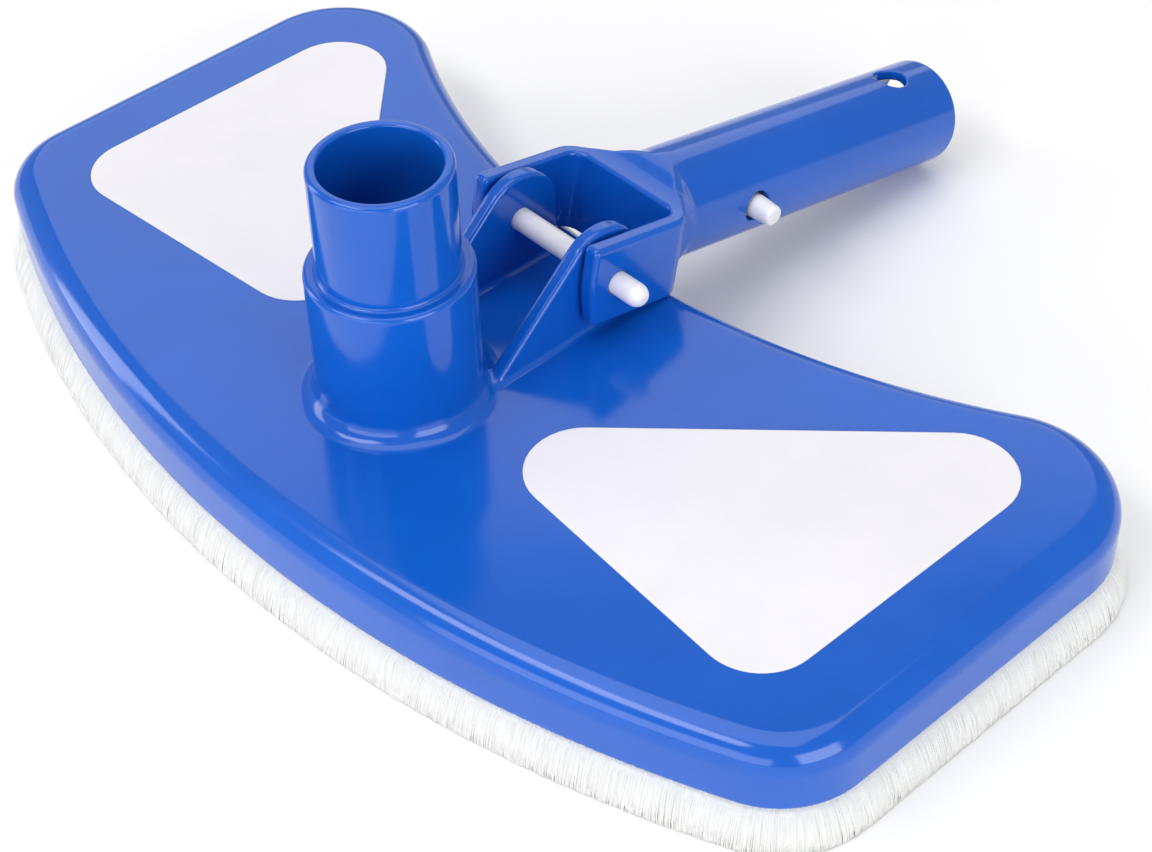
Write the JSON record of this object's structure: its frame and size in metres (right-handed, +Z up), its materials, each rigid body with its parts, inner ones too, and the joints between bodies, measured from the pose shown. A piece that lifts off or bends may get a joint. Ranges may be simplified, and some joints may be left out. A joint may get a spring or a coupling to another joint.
{
  "type": "pool vacuum head",
  "caption": "Half-moon pool vacuum head: hollow plate on a bristle skirt, upright two-stage hose connector, and a forked pole handle that swings on a pin.",
  "frame": {"origin": "middle of the footprint of the whole object, on the floor that the bristle tips and the handle end rest on", "axes": "+X along the head, +Y from the curved front edge towards the handle, +Z up"},
  "size_m": [0.2892, 0.2321, 0.0892],
  "materials": {
    "blue_abs": "glossy moulded",
    "blue_abs_satin": "satin moulded",
    "label_white": "matte film",
    "strip_plastic": "matte moulded",
    "bristle": "drawn nylon filament",
    "weight_metal": "as cast",
    "steel": "plated",
    "white_nylon": "satin moulded"
  },
  "bodies": {
    "head": {"top_shell": "blue_abs", "hose_connector": "blue_abs", "hinge_ear_left": "blue_abs", "hinge_ear_right": "blue_abs", "base_plate": "blue_abs_satin", "label_left": "label_white", "label_right": "label_white", "brush_spine_front": "strip_plastic", "brush_spine_left": "strip_plastic", "brush_spine_right": "strip_plastic", "brush_spine_rear": "strip_plastic", "bristles_front": "bristle", "bristles_left": "bristle", "bristles_right": "bristle", "bristles_rear": "bristle", "weight_left": "weight_metal", "weight_right": "weight_metal", "weight_screws": "steel", "base_screws": "steel", "hinge_pin": "white_nylon", "pin_cap": "white_nylon"},
    "handle": {"swivel_handle": "blue_abs", "clip_bow": "white_nylon"},
    "clip_left": {"clip_arm_left": "white_nylon", "clip_button_left": "white_nylon"},
    "clip_right": {"clip_arm_right": "white_nylon", "clip_button_right": "white_nylon"}
  },
  "joints": [
    {"name": "handle_swing", "type": "hinge", "parent": "head", "child": "handle", "pos_m": [0, -0.01585, 0.0411], "axis": [1, 0, 0], "range_deg": [0, 115]},
    {"name": "clip_flex_left", "type": "hinge", "parent": "handle", "child": "clip_left", "pos_m": [-0.0078, 0.07798, 0.02081], "axis": [0, 0.2113, 0.9774], "range_deg": [0, 8.2], "stiffness_Nm_per_rad": 2, "springref_deg": -5.73},
    {"name": "clip_flex_right", "type": "hinge", "parent": "handle", "child": "clip_right", "pos_m": [0.0078, 0.07798, 0.02081], "axis": [0, 0.2113, 0.9774], "range_deg": [-8.2, 0], "stiffness_Nm_per_rad": 2, "springref_deg": 5.73}
  ]
}
